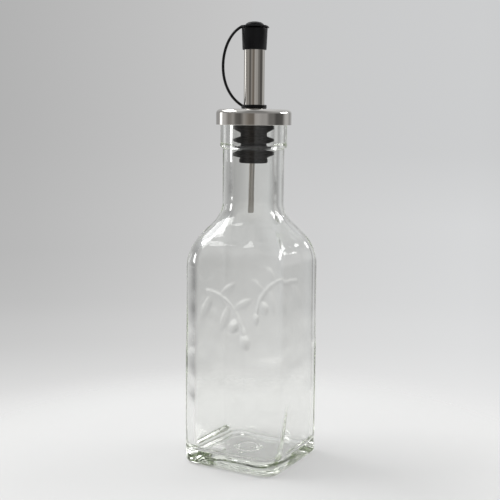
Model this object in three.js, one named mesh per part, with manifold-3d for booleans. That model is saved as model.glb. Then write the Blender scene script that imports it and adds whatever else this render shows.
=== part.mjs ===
// A glass oil dispenser: a square bottle with a round neck, closed by a finned rubber stopper that
// carries a steel collar, a steel pouring spout and a thin air tube. A rubber cap on a moulded strap
// shuts the spout.
//
// Millimetres, +Z up. The origin is the middle of the resting base, and the four faces of the bottle
// look along +X, -X, +Y and -Y. Pieces that touch in the real thing stand FIT apart.
import * as THREE from "three";
import { mergeVertices } from "three/addons/utils/BufferGeometryUtils.js";
import Module from "manifold-3d";

const wasm = await Module();
wasm.setup();

// Driving dimensions
const FIT = 0.25; // clearance between two pieces that touch
const FACE_SPREAD = 26; // half the width across the faces of the lower, plain zone
const CORNER = 8.5; // radius of the upright corners there
const HEEL = 2.9; // radius where the walls turn under
const LEDGE_Z = 55; // height where the plain zone ends
const SHOULDER_Z = 97.5; // height where the walls start to lean in
const SHOULDER_ARC = 29; // radius of the rounded shoulder
const SHOULDER_LEAN = THREE.MathUtils.degToRad(32.9); // lean of the straight part of the shoulder
const NECK_ARC = 18; // radius of the sweep into the neck
const NECK_R = 14.9;
const LIP_Z = 155; // underside of the thicker lip
const LIP_R = 16;
const MOUTH_Z = 169.4;
const BORE_R = 10.3;
const WALL = 2.65; // glass thickness of the body
const FLOOR_Z = 6; // top of the glass floor, beside the walls
const SPOUT_R = 5;
const SPOUT_WALL = 0.8;
const SPOUT_TOP_Z = 209.4;
const COLLAR_R = 18.25;
const COLLAR_Z = 165.4;
const COLLAR_TOP_Z = 173.2;
const SHEET = 1.1; // thickness of the collar's steel
const STOPPER_Z = 147.2; // underside of the stopper
const FIN_R = 10;
const CORE_R = 6.4;
const AIR_TUBE_R = 1.35;
const AIR_TUBE_Z = 122.5;
const CAP_Z = 201.3;
const CAP_TOP_Z = 211.3;
const CAP_R = 6.2;
const BUTTON_TOP_Z = 214.2;
const STRAP_TURN = THREE.MathUtils.degToRad(208.9); // direction in which the strap bows out

// Fineness of the round shapes
const BOTTLE_SIDES = 44;
const ROUND_SIDES = 36;
const SMALL_SIDES = 16;

// Colour, roughness and metalness of each finish
const glass = { color: 0xdfe8e2, roughness: 0.03, metalness: 0, transparent: true, opacity: 0.35 };
const steel = { color: 0xc9c6c1, roughness: 0.15, metalness: 1 };
const gloss = { color: 0x101114, roughness: 0.3, metalness: 0 };
const rubber = { color: 0x16171a, roughness: 0.6, metalness: 0 };

// A closed geometry as a solid that can be joined and cut.
function solidOf(geometry) {
  const bare = geometry.clone();
  bare.deleteAttribute("normal");
  bare.deleteAttribute("uv");
  const merged = mergeVertices(bare, 1e-4);
  return new wasm.Manifold(
    new wasm.Mesh({
      numProp: 3,
      vertProperties: merged.attributes.position.array,
      triVerts: new Uint32Array(merged.index.array),
    }),
  );
}

function geometryOf(solid) {
  const mesh = solid.getMesh();
  const geometry = new THREE.BufferGeometry();
  geometry.setAttribute("position", new THREE.BufferAttribute(mesh.vertProperties, 3));
  geometry.setIndex(new THREE.BufferAttribute(mesh.triVerts, 1));
  geometry.computeVertexNormals();
  return geometry;
}

function meshOf(name, geometry, finish) {
  const mesh = new THREE.Mesh(geometry, new THREE.MeshStandardMaterial(finish));
  mesh.name = name;
  return mesh;
}

// Points [across, up] of an arc round [cx, cz], by angle from straight outward, both ends included.
function arc(cx, cz, radius, from, to, steps) {
  return Array.from({ length: steps + 1 }, (_, i) => {
    const angle = THREE.MathUtils.degToRad(from + ((to - from) * i) / steps);
    return [cx + radius * Math.cos(angle), cz + radius * Math.sin(angle)];
  });
}

// A solid of revolution about the upright axis from [radius, height] points, anticlockwise when the
// section is drawn with the axis on its left.
function turned(profile, sides) {
  const points = profile.map(([r, z]) => new THREE.Vector2(r, z));
  return new THREE.LatheGeometry(points, sides).rotateX(Math.PI / 2);
}

// A turned ring or tube: its profile closes on itself.
function turnedRing(profile, sides) {
  return turned([...profile, profile[0]], sides);
}

// One level of a lofted body: a square with rounded corners, or a circle where the corner radius
// equals the half width. The normals of its points are spread evenly, so every level has the same
// number of points and they line up from one level to the next.
function level([half, z, corner], sides) {
  const radius = Math.min(corner, half);
  return Array.from({ length: sides }, (_, i) => {
    const angle = ((i + 0.5) / sides) * 2 * Math.PI;
    const x = Math.cos(angle);
    const y = Math.sin(angle);
    return [Math.sign(x) * (half - radius) + radius * x, Math.sign(y) * (half - radius) + radius * y, z];
  });
}

// A closed skin through levels, ended by a point on the axis below the first and above the last.
function loft(levels, firstZ, lastZ, sides) {
  const rings = levels.map((each) => level(each, sides));
  const points = [...rings.flat(), [0, 0, firstZ], [0, 0, lastZ]];
  const first = points.length - 2;
  const last = points.length - 1;
  const faces = [];
  for (let i = 0; i < sides; i++) {
    const j = (i + 1) % sides;
    faces.push(first, j, i);
    for (let k = 0; k + 1 < rings.length; k++) {
      const a = k * sides;
      const b = a + sides;
      faces.push(a + i, a + j, b + j, a + i, b + j, b + i);
    }
    const top = (rings.length - 1) * sides;
    faces.push(top + i, top + j, last);
  }
  const geometry = new THREE.BufferGeometry();
  geometry.setAttribute("position", new THREE.Float32BufferAttribute(points.flat(), 3));
  geometry.setIndex(faces);
  return geometry;
}

// The shoulder's line from the wall to the neck: an arc, a straight slope and an opposite arc, as
// [across, up, lean] with lean the angle of its outward normal above level.
function shoulderLine(wallHalf) {
  const lean = SHOULDER_LEAN;
  const arcs = SHOULDER_ARC + NECK_ARC;
  const slope = (wallHalf - NECK_R - arcs * (1 - Math.cos(lean))) / Math.sin(lean);
  const sweepZ = SHOULDER_Z + arcs * Math.sin(lean) + slope * Math.cos(lean);
  const line = [];
  for (const share of [0, 0.2, 0.4, 0.6, 0.8, 1]) {
    const angle = lean * share;
    const half = wallHalf - SHOULDER_ARC * (1 - Math.cos(angle));
    line.push([half, SHOULDER_Z + SHOULDER_ARC * Math.sin(angle), angle]);
  }
  for (const share of [1, 0.75, 0.5, 0.25, 0]) {
    const angle = lean * share;
    line.push([NECK_R + NECK_ARC * (1 - Math.cos(angle)), sweepZ - NECK_ARC * Math.sin(angle), angle]);
  }
  return line;
}

// The corner radius grows from the body's to the neck's full circle as the section narrows.
function cornerAt(half, wallHalf, wallCorner, neckRadius) {
  return THREE.MathUtils.mapLinear(half, wallHalf, neckRadius, wallCorner, neckRadius);
}

const UPPER_SPREAD = FACE_SPREAD - 0.2; // the upper zone is a little slimmer
const UPPER_CORNER = CORNER + 0.5;
const LEDGE_CORNER = CORNER - 0.6; // sharper corners that stand out at the ledge
const LEDGE_RISE = 5; // height over which the ledge falls back to the upper zone
const PUSH_UP = 2; // how far the middle of the underside lies above the rim it rests on
const RIM = 3; // width of that rim
const RING_R = 6.5; // the plain ring moulded under the floor

// Outside levels [half width, height, corner radius], from the underside up to the rim of the mouth.
function outsideLevels() {
  const rimHalf = FACE_SPREAD - HEEL;
  const underHalf = rimHalf - RIM;
  // The pushed-up middle is round, and turns square towards the rim.
  const underside = [
    [underHalf * 0.35, PUSH_UP * 0.97, underHalf * 0.35],
    [underHalf * 0.7, PUSH_UP * 0.8, underHalf * 0.5],
    [underHalf * 0.92, PUSH_UP * 0.55, underHalf * 0.3],
    [underHalf, 0, CORNER - HEEL - 1],
  ];
  const heel = arc(rimHalf, HEEL, HEEL, -90, 0, 4).map(([half, z]) => [
    half,
    z,
    CORNER - (FACE_SPREAD - half),
  ]);
  const ledge = [
    [FACE_SPREAD, LEDGE_Z - 4, CORNER],
    [FACE_SPREAD, LEDGE_Z, LEDGE_CORNER],
    [UPPER_SPREAD, LEDGE_Z + LEDGE_RISE, UPPER_CORNER + 0.2],
    [UPPER_SPREAD, LEDGE_Z + 2 * LEDGE_RISE, UPPER_CORNER],
  ];
  const shoulder = shoulderLine(UPPER_SPREAD).map(([half, z]) => [
    half,
    z,
    cornerAt(half, UPPER_SPREAD, UPPER_CORNER, NECK_R),
  ]);
  const bead = LIP_R + 0.3; // a fine bead round the foot of the lip
  const lip = [
    [NECK_R, LIP_Z - 1],
    [LIP_R - 0.3, LIP_Z - 0.4],
    [bead, LIP_Z + 0.3],
    [bead, LIP_Z + 1],
    [LIP_R, LIP_Z + 1.8],
    [LIP_R, MOUTH_Z - 1.5],
    [LIP_R - 0.45, MOUTH_Z - 0.45],
    [LIP_R - 1.5, MOUTH_Z],
  ].map(([radius, z]) => [radius, z, radius]);
  return [...underside, ...heel, ...ledge, ...shoulder, ...lip];
}

// Inside levels, from the mouth down to the floor. The wall is thickest in the neck.
function insideLevels() {
  const half = UPPER_SPREAD - WALL;
  const corner = 7.4; // the wall is thicker at the corners
  const neckWall = NECK_R - BORE_R;
  const mouth = [
    [BORE_R + 1, MOUTH_Z, BORE_R + 1],
    [BORE_R, MOUTH_Z - 1, BORE_R],
  ];
  const shoulder = shoulderLine(UPPER_SPREAD)
    .reverse()
    .map(([outer, z, lean]) => {
      const share = THREE.MathUtils.smoothstep(outer, NECK_R, UPPER_SPREAD);
      const thickness = THREE.MathUtils.lerp(neckWall, WALL, share);
      const inner = outer - thickness * Math.cos(lean);
      return [inner, z - thickness * Math.sin(lean), cornerAt(inner, half, corner, BORE_R)];
    });
  const turn = 4.2; // radius where the wall meets the floor
  const foot = arc(half - turn, FLOOR_Z + turn, turn, 0, -90, 4).map(([across, z]) => [
    across,
    z,
    corner - (half - across) * 0.9,
  ]);
  const floor = [
    [half * 0.5, FLOOR_Z + 0.5, half * 0.35],
    [half * 0.2, FLOOR_Z + 0.9, half * 0.2],
  ];
  return [...mouth, ...shoulder, ...foot, ...floor];
}

// A low lens of glass, half sunk in the face it stands on, its length turned from level by an angle.
function lens(x, z, length, breadth, height, turn) {
  const shape = new THREE.SphereGeometry(1, 12, 6);
  shape.scale(length / 2, height, breadth / 2);
  shape.rotateY(-turn);
  return shape.translate(x, -UPPER_SPREAD, z);
}

// An olive sprig in low relief on the face that looks along -Y: a bent stem, and leaves and fruits
// that spring from it, as [share along the stem, turn in degrees, length, breadth, height].
function sprig() {
  const stem = new THREE.QuadraticBezierCurve3(
    new THREE.Vector3(-10, -UPPER_SPREAD, 87),
    new THREE.Vector3(4, -UPPER_SPREAD, 86),
    new THREE.Vector3(9.5, -UPPER_SPREAD, 69),
  );
  const stalk = new THREE.Shape().absarc(0, 0, 0.6, 0, 2 * Math.PI);
  const springing = [
    [0.1, 244, 16, 5.4, 0.6],
    [0.25, 38, 11.5, 4.2, 0.6],
    [0.5, 251, 15, 5, 0.6],
    [0.62, 30, 12, 4.4, 0.6],
    [0.8, 236, 8.4, 6, 1],
    [1, 282, 8.6, 6.2, 1],
  ];
  const pieces = springing.map(([share, degrees, length, breadth, height]) => {
    const foot = stem.getPoint(share);
    const turn = THREE.MathUtils.degToRad(degrees);
    const x = foot.x + (length / 2) * Math.cos(turn);
    const z = foot.z + (length / 2) * Math.sin(turn);
    return lens(x, z, length, breadth, height, turn);
  });
  pieces.push(new THREE.ExtrudeGeometry(stalk, { steps: 10, curveSegments: 3, extrudePath: stem }));
  return pieces;
}

// The blown glass bottle, one piece: its walls, floor, neck and lip, with a sprig on two opposite
// faces and a plain ring under the floor.
function bottle() {
  const levels = [...outsideLevels(), ...insideLevels()];
  let solid = solidOf(loft(levels, PUSH_UP, FLOOR_Z + 1, BOTTLE_SIDES));
  for (const piece of sprig()) {
    const front = solidOf(piece);
    solid = solid.add(front).add(front.rotate([0, 0, 180]));
  }
  const ring = new THREE.TorusGeometry(RING_R, 0.7, 6, SMALL_SIDES).translate(0, 0, PUSH_UP * 0.95);
  solid = solid.add(solidOf(ring));
  return meshOf("bottle", geometryOf(solid), glass);
}

const SOCKET_Z = 160.6; // floor of the socket that the spout stands in
const BRIM_TOP_Z = COLLAR_TOP_Z - SHEET - 2 * FIT; // clear of the crowned collar
const TUBE_X = -0.5; // the air tube stands a little to the strap's side of the axis
const CHANNEL_X = 3.7; // the pouring channel lies beside it
const CHANNEL_R = 1.9;

// An upright cylinder at a distance from the axis, away from the strap, or towards it when negative.
function rod(distance, radius, lowZ, highZ) {
  const middle = (lowZ + highZ) / 2;
  const shape = new THREE.CylinderGeometry(radius, radius, highZ - lowZ, SMALL_SIDES);
  shape.rotateX(Math.PI / 2);
  shape.translate(-distance, 0, middle);
  return shape.rotateZ(STRAP_TURN);
}

// The rubber stopper: a brim on the mouth, a core with three fins that grip the bore and a plain
// plug below. The spout stands in its socket, and a channel and the air tube run through its web.
function stopper() {
  // Heights of each fin: top of its rim, foot of its rim, and where its underside meets the core.
  const fins = [
    [165.0, 163.6, 161.7],
    [158.8, 157.8, 156.3],
    [152.8, 151.6, 149.6],
  ];
  const brimR = 15.4;
  const plugR = 6.9;
  const outside = [
    [0, STOPPER_Z],
    [plugR - 0.6, STOPPER_Z],
    [plugR, STOPPER_Z + 0.7],
    [plugR, STOPPER_Z + 1.8],
  ];
  for (const [top, edge, under] of [...fins].reverse()) {
    outside.push([CORE_R, under], [FIN_R, edge], [FIN_R, top], [CORE_R, top + 1.2]);
  }
  outside.push(
    [CORE_R, MOUTH_Z - 1],
    [BORE_R - 0.6, MOUTH_Z - 0.4],
    [BORE_R - 0.2, MOUTH_Z + FIT],
    [brimR, MOUTH_Z + FIT],
    [brimR, BRIM_TOP_Z],
    [SPOUT_R + FIT, BRIM_TOP_Z],
    [SPOUT_R + FIT, SOCKET_Z],
    [0, SOCKET_Z],
  );
  const body = solidOf(turned(outside, ROUND_SIDES));
  const tubeHole = solidOf(rod(TUBE_X, AIR_TUBE_R + FIT, STOPPER_Z - 1, SOCKET_Z + 1));
  const channel = solidOf(rod(CHANNEL_X, CHANNEL_R, STOPPER_Z - 1, SOCKET_Z + 1));
  return meshOf("stopper", geometryOf(body.subtract(tubeHole).subtract(channel)), rubber);
}

// The pressed steel collar: a shallow cup over the lip, with a hole for the spout.
function collar() {
  const edge = 2.2;
  const crown = 0.3; // how far the top rises from its edge to the spout
  const edgeZ = COLLAR_TOP_Z - crown - edge;
  const insideR = COLLAR_R - SHEET;
  const rim = 0.25;
  const profile = [
    [insideR, COLLAR_Z + rim],
    [insideR + rim, COLLAR_Z],
    [COLLAR_R - rim, COLLAR_Z],
    [COLLAR_R, COLLAR_Z + rim],
    ...arc(COLLAR_R - edge, edgeZ, edge, 0, 90, 6),
    [SPOUT_R + FIT + rim, COLLAR_TOP_Z],
    [SPOUT_R + FIT, COLLAR_TOP_Z - rim],
    [SPOUT_R + FIT, COLLAR_TOP_Z - SHEET],
    ...arc(COLLAR_R - edge, edgeZ, edge - SHEET, 90, 0, 3),
  ];
  return meshOf("collar", turnedRing(profile, ROUND_SIDES), steel);
}

// The steel pouring tube, open at both ends, with its rims broken.
function spoutTube() {
  const lowZ = SOCKET_Z + FIT;
  const rim = 0.2;
  const inner = SPOUT_R - SPOUT_WALL;
  const profile = [
    [inner, lowZ],
    [SPOUT_R, lowZ],
    [SPOUT_R, SPOUT_TOP_Z - rim],
    [SPOUT_R - rim, SPOUT_TOP_Z],
    [inner + rim, SPOUT_TOP_Z],
    [inner, SPOUT_TOP_Z - rim],
  ];
  return meshOf("spout_tube", turnedRing(profile, ROUND_SIDES), steel);
}

// The thin steel air tube, held in the stopper's web and open at both ends.
function airTube() {
  const bore = AIR_TUBE_R - 0.4;
  const highZ = SOCKET_Z + 2;
  const outer = solidOf(rod(TUBE_X, AIR_TUBE_R, AIR_TUBE_Z, highZ));
  const hole = solidOf(rod(TUBE_X, bore, AIR_TUBE_Z - 1, highZ + 1));
  return meshOf("air_tube", geometryOf(outer.subtract(hole)), steel);
}

const BUTTON_NECK_R = 3;
const BUTTON_R = 4.4;
const BUTTON_Z = 212.55;

// The rubber cap: a thimble over the spout, and a domed button that holds the strap's upper ring.
function spoutCap() {
  const lowR = CAP_R - 0.5;
  const insideR = SPOUT_R + FIT;
  const dome = [8, 30, 52, 72].map((angle) => {
    const turn = THREE.MathUtils.degToRad(angle);
    return [BUTTON_R * Math.cos(turn), BUTTON_Z + 0.2 + (BUTTON_TOP_Z - BUTTON_Z - 0.2) * Math.sin(turn)];
  });
  const profile = [
    [0, SPOUT_TOP_Z + FIT],
    [insideR, SPOUT_TOP_Z + FIT],
    [insideR, CAP_Z],
    [lowR, CAP_Z],
    [CAP_R, CAP_TOP_Z - 0.5],
    [CAP_R - 0.5, CAP_TOP_Z],
    [BUTTON_NECK_R, CAP_TOP_Z],
    [BUTTON_NECK_R, BUTTON_Z],
    [BUTTON_R - 0.2, BUTTON_Z],
    ...dome,
    [0, BUTTON_TOP_Z],
  ];
  return meshOf("spout_cap", turned(profile, ROUND_SIDES), gloss);
}

// The strap, one moulding: a thin upper ring under the cap's button, a bowed strip, and a round
// lower ring about the foot of the spout.
function tether() {
  const ringZ = CAP_TOP_Z + FIT;
  const ringTopZ = BUTTON_Z - FIT;
  const upper = turnedRing(
    [
      [BUTTON_NECK_R + FIT, ringZ],
      [6.9, ringZ],
      [6.9, ringTopZ],
      [BUTTON_NECK_R + FIT, ringTopZ],
    ],
    ROUND_SIDES,
  );
  const footZ = COLLAR_TOP_Z + FIT;
  const lower = turnedRing(
    [
      [SPOUT_R + FIT, footZ],
      [5.8, footZ],
      [6.1, footZ + 0.5],
      [6.1, footZ + 1.1],
      [5.8, footZ + 1.6],
      [SPOUT_R + FIT, footZ + 1.6],
    ],
    ROUND_SIDES,
  );
  // The strip stands out 15.5 mm from the spout's axis at its middle.
  const bow = new THREE.CubicBezierCurve3(
    new THREE.Vector3(6.6, 0, (ringZ + ringTopZ) / 2),
    new THREE.Vector3(18, 0, 208.9),
    new THREE.Vector3(19.3, 0, 179.4),
    new THREE.Vector3(5.7, 0, footZ + 0.8),
  );
  const strip = new THREE.Shape().absellipse(0, 0, 1, 0.65, 0, 2 * Math.PI);
  const strap = new THREE.ExtrudeGeometry(strip, { steps: 24, curveSegments: 8, extrudePath: bow });
  const solid = solidOf(upper).add(solidOf(strap)).add(solidOf(lower));
  return meshOf("tether", geometryOf(solid).rotateZ(STRAP_TURN), rubber);
}

const dispenser = new THREE.Group();
dispenser.add(bottle(), stopper(), collar(), spoutTube(), airTube(), spoutCap(), tether());

export default dispenser;
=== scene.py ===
import math

import bpy
import numpy as np
from mathutils import Matrix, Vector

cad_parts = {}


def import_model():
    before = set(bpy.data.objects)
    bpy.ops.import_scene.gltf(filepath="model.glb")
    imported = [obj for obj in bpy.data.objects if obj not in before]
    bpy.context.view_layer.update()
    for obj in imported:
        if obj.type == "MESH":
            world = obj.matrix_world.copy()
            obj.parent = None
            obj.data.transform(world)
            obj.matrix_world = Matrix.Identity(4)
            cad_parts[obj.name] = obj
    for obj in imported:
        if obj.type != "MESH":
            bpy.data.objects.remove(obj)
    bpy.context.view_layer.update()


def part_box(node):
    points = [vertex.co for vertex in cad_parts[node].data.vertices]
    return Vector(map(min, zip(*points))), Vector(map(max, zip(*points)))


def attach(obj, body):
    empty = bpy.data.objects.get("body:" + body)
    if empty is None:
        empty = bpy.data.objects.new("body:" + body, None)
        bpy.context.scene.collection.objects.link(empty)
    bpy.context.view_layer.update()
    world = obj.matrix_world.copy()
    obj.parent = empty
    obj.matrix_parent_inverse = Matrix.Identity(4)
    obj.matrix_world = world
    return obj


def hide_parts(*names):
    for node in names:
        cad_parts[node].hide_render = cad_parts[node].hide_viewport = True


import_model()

# A glass oil dispenser on a pale floor. Shapes are worked out in millimetres and put into their
# meshes in metres. Profiles are [distance from the axis, height] points, and the outside always
# lies to the right of a profile's direction. A third number is the radius that rounds a corner.
MM = 0.001


def half_breadth(node):
    """Half the breadth of a CAD node that is centred on the axis, in millimetres."""
    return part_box(node)[1].x / MM


def heights(node):
    """The lowest and the highest point of a CAD node, in millimetres."""
    low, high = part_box(node)
    return low.z / MM, high.z / MM


# Outside of the bottle
FACE_SPREAD = half_breadth("bottle")  # from the axis to a face of the plain lower zone
MOUTH_Z = heights("bottle")[1]
CORNER = 8.5  # radius of the upright corners
HEEL = 2.9  # radius where the walls turn under
RIM = 3.0  # width of the rim that the bottle stands on
PUSH_UP = 2.0  # how far the middle of the underside lies above that rim
RING_R = 6.5  # plain ring moulded in the middle of the underside
RING_HALF_WIDTH = 1.0
RING_RELIEF = 0.9
LEDGE_Z = 55.0  # height where the plain zone ends
LEDGE_RISE = 3.5  # height over which the corners grow fuller at the ledge
LEDGE_FULLER = 0.4
SLIMMER = 0.2  # how much nearer to the axis the faces lie in the upper zone
UPPER_SPREAD = FACE_SPREAD - SLIMMER
UPPER_CORNER = CORNER + 0.5
SHOULDER_Z = 97.5  # height where the walls begin to lean in
SHOULDER_ARC = 29.0
SHOULDER_LEAN = math.radians(32.9)
NECK_ARC = 18.0
NECK_R = 14.9
LIP_Z = 155.0  # height where the lip begins, with a bead at its foot
LIP_R = 16.0
BEAD_R = LIP_R + 0.3
SHOULDER_RIPPLE = 0.045

# Inside of the bottle
BORE_R = 10.3
WALL = 2.65
FLOOR_Z = 6.0  # height of the inner floor at its edge
FLOOR_CROWN = 1.0  # how far its middle lies above that
INSIDE_CORNER = 7.4
INSIDE_FOOT = 4.2  # radius where the inside of a wall meets the floor
FOLD_HEIGHT = 1.3  # an upright fold on the inside of the right face, near the front corner
FOLD_HALF_WIDTH = 2.8
FOLD_Y = -15.0  # where the fold meets the floor
FOLD_SLANT = 0.3  # how far it shifts backwards for each millimetre up
FOLD_FULL_Z = 12.0
FOLD_END_Z = 36.0
# Small blisters on the inner floor: x, y, radius and height.
BLISTERS = [[-6, -15, 1.6, 0.5], [2.5, -14.5, 1.5, 0.5], [4.5, -5, 1.3, 0.4], [-10, -5, 1, 0.3]]

# The olive sprig: a bent stem through three control points on the face, and leaves and fruits
# that spring from it, each as [share along the stem, turn in degrees, length, breadth, height].
STEM = np.array([[-10, 87], [4, 86], [9.5, 69]])
STEM_R = 0.75
STEM_HEIGHT = 0.3
LEAVES = [
    [0.1, 244, 16, 5.4, 0.3],
    [0.25, 38, 11.5, 4.2, 0.3],
    [0.5, 251, 15, 5, 0.3],
    [0.62, 30, 12, 4.4, 0.3],
]
LEAF_TIP = 0.45  # how much narrower a leaf's breadth gets towards its ends
FRUITS = [[0.8, 236, 8.4, 6, 0.5], [1, 282, 8.6, 6.2, 0.5]]

# Stopper, collar and tubes
FIT = 0.25  # clearance between two pieces that touch
SPOUT_R = 5.0
SPOUT_WALL = 0.8
SPOUT_Z, SPOUT_TOP_Z = heights("spout_tube")
COLLAR_R = half_breadth("collar")
COLLAR_Z, COLLAR_TOP_Z = heights("collar")
COLLAR_CROWN = 0.3  # how far the collar's top rises towards the spout
SHEET = 1.1  # thickness of the collar's steel
STOPPER_Z, STOPPER_TOP_Z = heights("stopper")
BRIM_R = half_breadth("stopper")
PLUG_R = 6.9  # the stopper's plain lower end
CORE_R = 6.4  # between its fins
FIN_R = 10.0
# Heights of each fin: top of its rim, foot of its rim, and where its underside meets the core.
FINS = [[152.8, 151.6, 149.6], [158.8, 157.8, 156.3], [165.0, 163.6, 161.7]]
FIN_DROOP = 0.9
SOCKET_Z = SPOUT_Z - FIT  # bottom of the socket that the spout stands in
AIR_TUBE_R = 1.35
AIR_TUBE_WALL = 0.4
AIR_TUBE_Z, AIR_TUBE_TOP_Z = heights("air_tube")
AIR_TUBE_LEAN = 0.6  # how far its lower end swings out, towards the camera's left
TUBE_X = 0.5  # the air tube's distance from the axis, towards the strap
CHANNEL_X = 3.7  # the pouring channel's, away from the strap
CHANNEL_R = 1.9

# Cap and strap
CAP_R = 6.2
CAP_Z, BUTTON_TOP_Z = heights("spout_cap")
CAP_SKIRT = 0.35  # how far the soft skirt reaches below the solid's
CAP_TOP_Z = 211.3
BUTTON_NECK_R = 3.0
BUTTON_R = 4.4
BUTTON_Z = 212.55
STRAP_TURN = math.radians(208.9)  # direction in which the strap bows out
STRAP_THICK = 1.35
STRAP_WIDTH = 2.0
STRAP_STEPS = 90
STRAP_COLUMNS = 28
UPPER_RING_R = 6.9
RING_SAG = 0.45  # how far the upper ring's free side hangs down beside the cap
LOWER_RING_R = 6.1
LOWER_RING_Z = COLLAR_TOP_Z + 0.05
LOWER_RING_TALL = 1.8

# Camera. It stands in front of the -Y face, turned to the right by CAMERA_TURN.
CAMERA_TURN = math.radians(28.9)
CAMERA_PITCH = math.radians(7.617)
CAMERA_ROLL = math.radians(0.52)
CAMERA_DISTANCE = 487.7
CAMERA_HEIGHT = 169.8
CAMERA_ASIDE = -1.3
CAMERA_LENS = 72.3

# Fineness
BOTTLE_COLUMNS = 320
TURNED_COLUMNS = 160
LIGHT_BOUNCES = 300


def smooth_share(value, low, high):
    """0 below low, 1 above high, and between them the smooth curve 3s^2 - 2s^3."""
    share = np.clip((value - low) / (high - low), 0, 1)
    return share * share * (3 - 2 * share)


def ripple(points, scale, seed):
    """A slow uneven wave from -1 to 1: the mean of four sines along fixed slanting directions."""
    draw = np.random.default_rng(seed)
    ways = draw.normal(size=(4, 3))
    ways /= np.linalg.norm(ways, axis=1)[:, None]
    phases = draw.uniform(0, 2 * math.pi, 4)
    return np.sin(points @ ways.T * (2 * math.pi / scale) + phases).mean(-1)


def arc(across, up, radius, start, end, steps):
    """Points at a radius from (across, up), their angle going evenly from start to end degrees."""
    angle = np.radians(np.linspace(start, end, steps + 1))
    return np.stack([across + radius * np.cos(angle), up + radius * np.sin(angle)], axis=1)


def turn_back(vector):
    """A flat vector turned a quarter anticlockwise."""
    return np.array([-vector[1], vector[0]])


def fillet(before, corner, after, radius, steps):
    """The arc that rounds a corner: it touches both sides at radius x tan(half the turn) from it.

    Where a side is short, the arc is smaller. Two more points stand just outside its ends, so that
    the shading of the straight sides stays flat.
    """
    into, out = corner - before, after - corner
    room = 0.45 * min(np.linalg.norm(into), np.linalg.norm(out))
    into, out = into / np.linalg.norm(into), out / np.linalg.norm(out)
    turn = math.atan2(into[0] * out[1] - into[1] * out[0], into @ out)
    reach = min(radius * math.tan(abs(turn) / 2), room)
    if reach < 1e-4:
        return corner[None]
    true_radius = reach / math.tan(abs(turn) / 2)
    side = math.copysign(1, turn)
    centre = corner - into * reach + side * true_radius * turn_back(into)
    spoke = -side * true_radius * turn_back(into)
    angles = np.linspace(0, turn, steps + 1)
    bow = centre + np.outer(np.cos(angles), spoke) + np.outer(np.sin(angles), turn_back(spoke))
    hold = min(0.12 * reach + 0.03, 0.1 * room)
    first, last = corner - into * (reach + hold), corner + out * (reach + hold)
    return np.vstack([first, bow, last])


def rounded(corners, closed=False, steps=5):
    """A profile through [across, up, radius] corners, each rounded by an arc of its radius."""
    points = np.array([corner[:2] for corner in corners], float)
    radii = [corner[2] for corner in corners]
    count = len(points)
    turning = range(count) if closed else range(1, count - 1)
    runs = [fillet(points[i - 1], points[i], points[(i + 1) % count], radii[i], steps) for i in turning]
    if not closed:
        runs = [points[:1], *runs, points[-1:]]
    return np.vstack(runs)


def grid_faces(rings, columns, wrap):
    """Four-sided faces between neighbouring rings, whose columns close on themselves."""
    index = np.arange(rings * columns).reshape(rings, columns)
    lower = index if wrap else index[:-1]
    upper = np.roll(index, -1, axis=0) if wrap else index[1:]
    corners = [lower, np.roll(lower, -1, axis=1), np.roll(upper, -1, axis=1), upper]
    return np.stack(corners, axis=-1).reshape(-1, 4)


def skin(rings, poles=None):
    """(points, faces) of a surface through rings of points, an array of rings x columns x 3.

    With poles, the first and last ring are closed by fans to those two points. Without them, the
    last ring joins the first, as on a tube that closes on itself.
    """
    count, columns = rings.shape[:2]
    points = rings.reshape(-1, 3)
    faces = grid_faces(count, columns, poles is None).tolist()
    if poles is not None:
        first, last = len(points), len(points) + 1
        points = np.vstack([points, poles])
        around = np.arange(columns)
        beside = np.roll(around, -1)
        top = (count - 1) * columns
        faces += np.stack([np.full(columns, first), beside, around], axis=1).tolist()
        faces += np.stack([top + around, top + beside, np.full(columns, last)], axis=1).tolist()
    return points, faces


def turned_rings(profile):
    """Rings of a surface of revolution: every profile point carried round the upright axis."""
    angle = np.arange(TURNED_COLUMNS) / TURNED_COLUMNS * 2 * math.pi
    across, up = profile[:, 0, None], profile[:, 1, None]
    flat = np.zeros_like(angle)
    return np.stack([across * np.cos(angle), across * np.sin(angle), up + flat], axis=-1)


def turned_solid(corners):
    """A turned body whose profile starts and ends on the axis."""
    profile = rounded(corners)
    poles = np.array([[0, 0, profile[0, 1]], [0, 0, profile[-1, 1]]])
    return skin(turned_rings(profile[1:-1]), poles)


def turned_tube(corners, steps=5):
    """A turned ring or tube whose profile closes on itself."""
    return skin(turned_rings(rounded(corners, closed=True, steps=steps)))


def turned_band(inner_r, outer_r, low_z, high_z, rounds):
    """A turned tube or ring of a four-cornered section.

    The rounds are the radii of its corners: inside below, outside below, outside above, inside above.
    """
    corners = [
        [inner_r, low_z, rounds[0]],
        [outer_r, low_z, rounds[1]],
        [outer_r, high_z, rounds[2]],
        [inner_r, high_z, rounds[3]],
    ]
    return turned_tube(corners)


def turned_about(points, angle):
    """Points turned about the upright axis."""
    cos, sin = math.cos(angle), math.sin(angle)
    return points @ np.array([[cos, sin, 0], [-sin, cos, 0], [0, 0, 1]])


def mesh_of(name, surfaces):
    """One smooth-shaded mesh from several (points, faces) surfaces in millimetres."""
    points, faces, start = [], [], 0
    for some_points, some_faces in surfaces:
        points.append(some_points)
        faces += [[start + corner for corner in face] for face in some_faces]
        start += len(some_points)
    mesh = bpy.data.meshes.new(name)
    mesh.from_pydata((np.vstack(points) * MM).tolist(), [], faces)
    mesh.polygons.foreach_set("use_smooth", np.ones(len(mesh.polygons), bool))
    mesh.update()
    return mesh


def object_of(name, surfaces, material):
    """A piece at the origin, made of surfaces in one material."""
    mesh = mesh_of(name, surfaces)
    mesh.materials.append(material)
    piece = bpy.data.objects.new(name, mesh)
    bpy.context.scene.collection.objects.link(piece)
    return piece


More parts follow.
